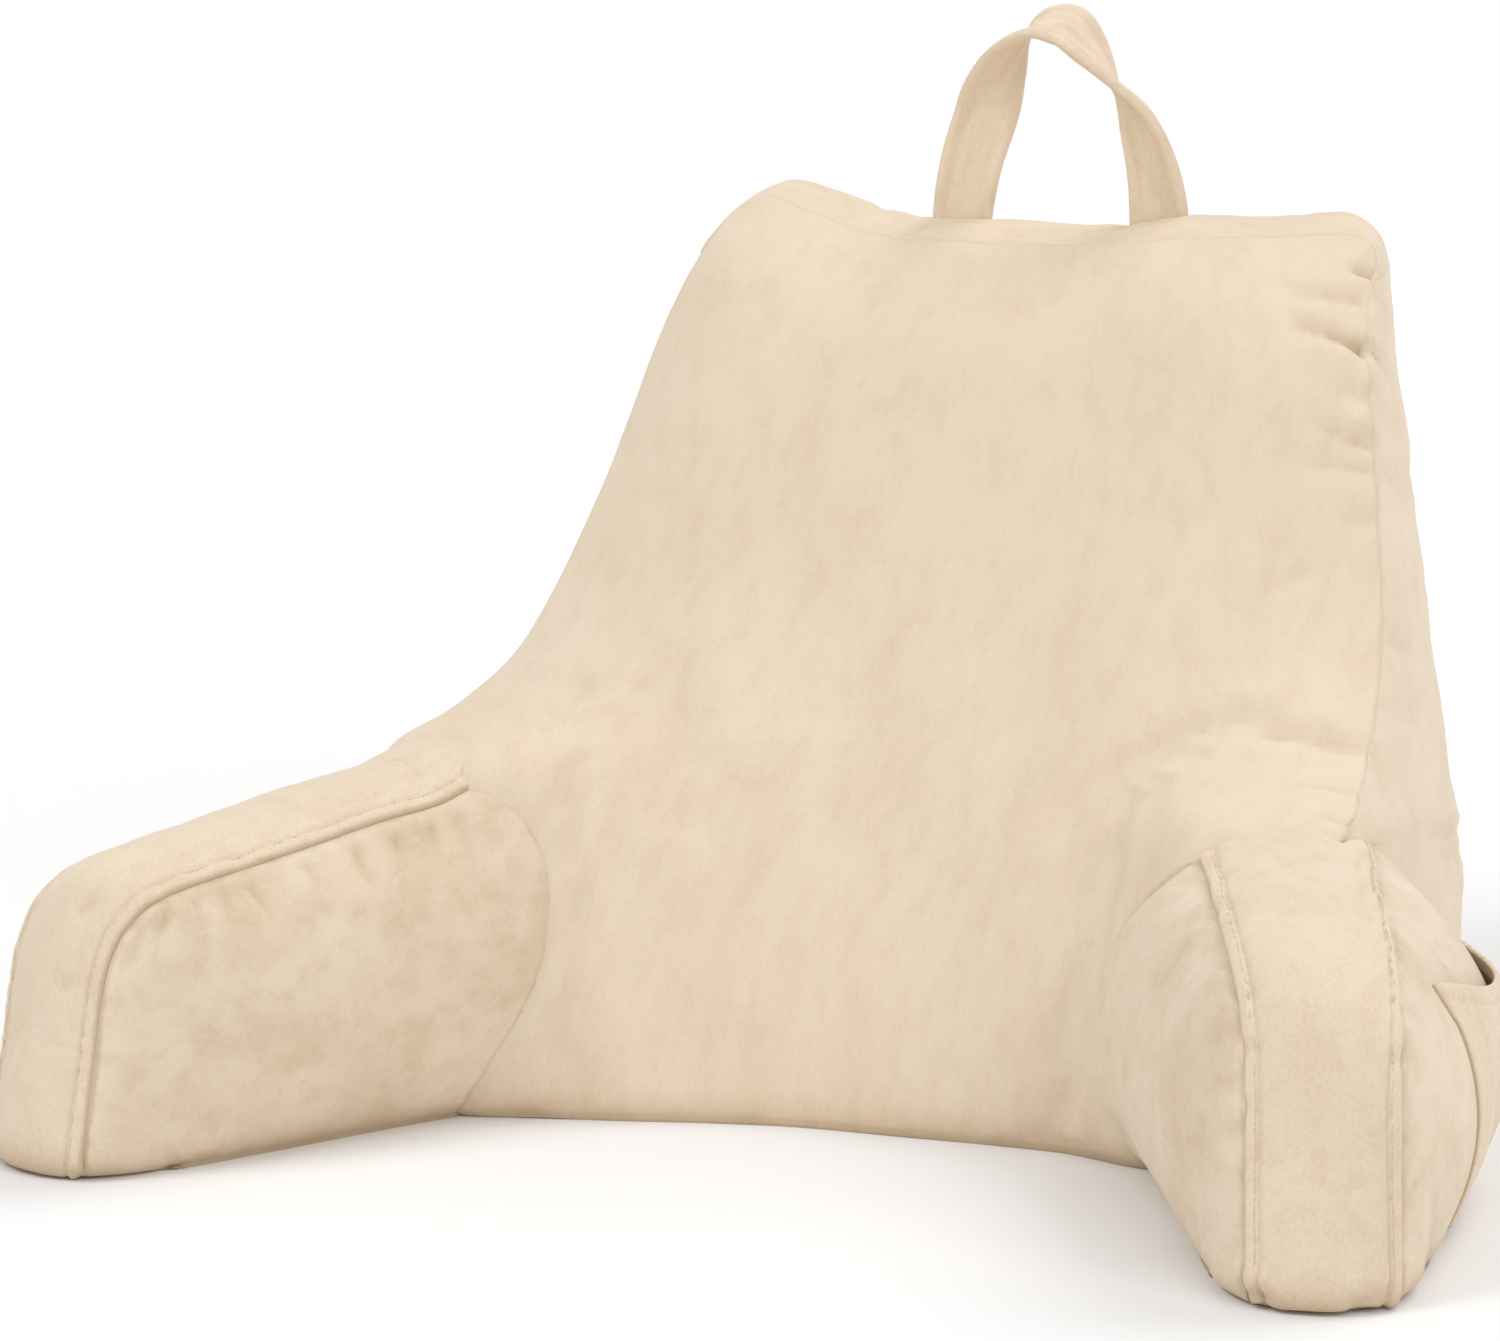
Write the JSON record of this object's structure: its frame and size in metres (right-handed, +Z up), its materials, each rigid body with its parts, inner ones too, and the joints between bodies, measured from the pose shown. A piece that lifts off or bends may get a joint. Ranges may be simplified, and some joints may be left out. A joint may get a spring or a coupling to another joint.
{
  "type": "reading pillow",
  "caption": "Reading pillow with a tall leaning backrest, splayed stuffed arms under lapped topstitched bands, a carry handle on top and an elastic pocket on the side of an arm.",
  "frame": {"origin": "on the floor at the middle of the whole footprint", "axes": "+Z up; the sitter faces -Y and leans toward +Y; +X is the side of the arm with the pocket"},
  "size_m": [0.7596, 0.642, 0.5645],
  "materials": {
    "back_cushion_plush": "short plush, light sand",
    "arm_left_plush": "short plush, light sand",
    "arm_right_plush": "short plush, light sand",
    "arm_left_band_plush": "short plush, light sand",
    "arm_right_band_plush": "short plush, light sand",
    "carry_handle_plush": "short plush folded flat, light sand",
    "side_pocket_plush": "short plush, light sand"
  },
  "bodies": {
    "root": {"back_cushion": "back_cushion_plush", "arm_left": "arm_left_plush", "arm_right": "arm_right_plush", "arm_left_band": "arm_left_band_plush", "arm_right_band": "arm_right_band_plush", "carry_handle": "carry_handle_plush", "side_pocket": "side_pocket_plush"}
  },
  "joints": []
}
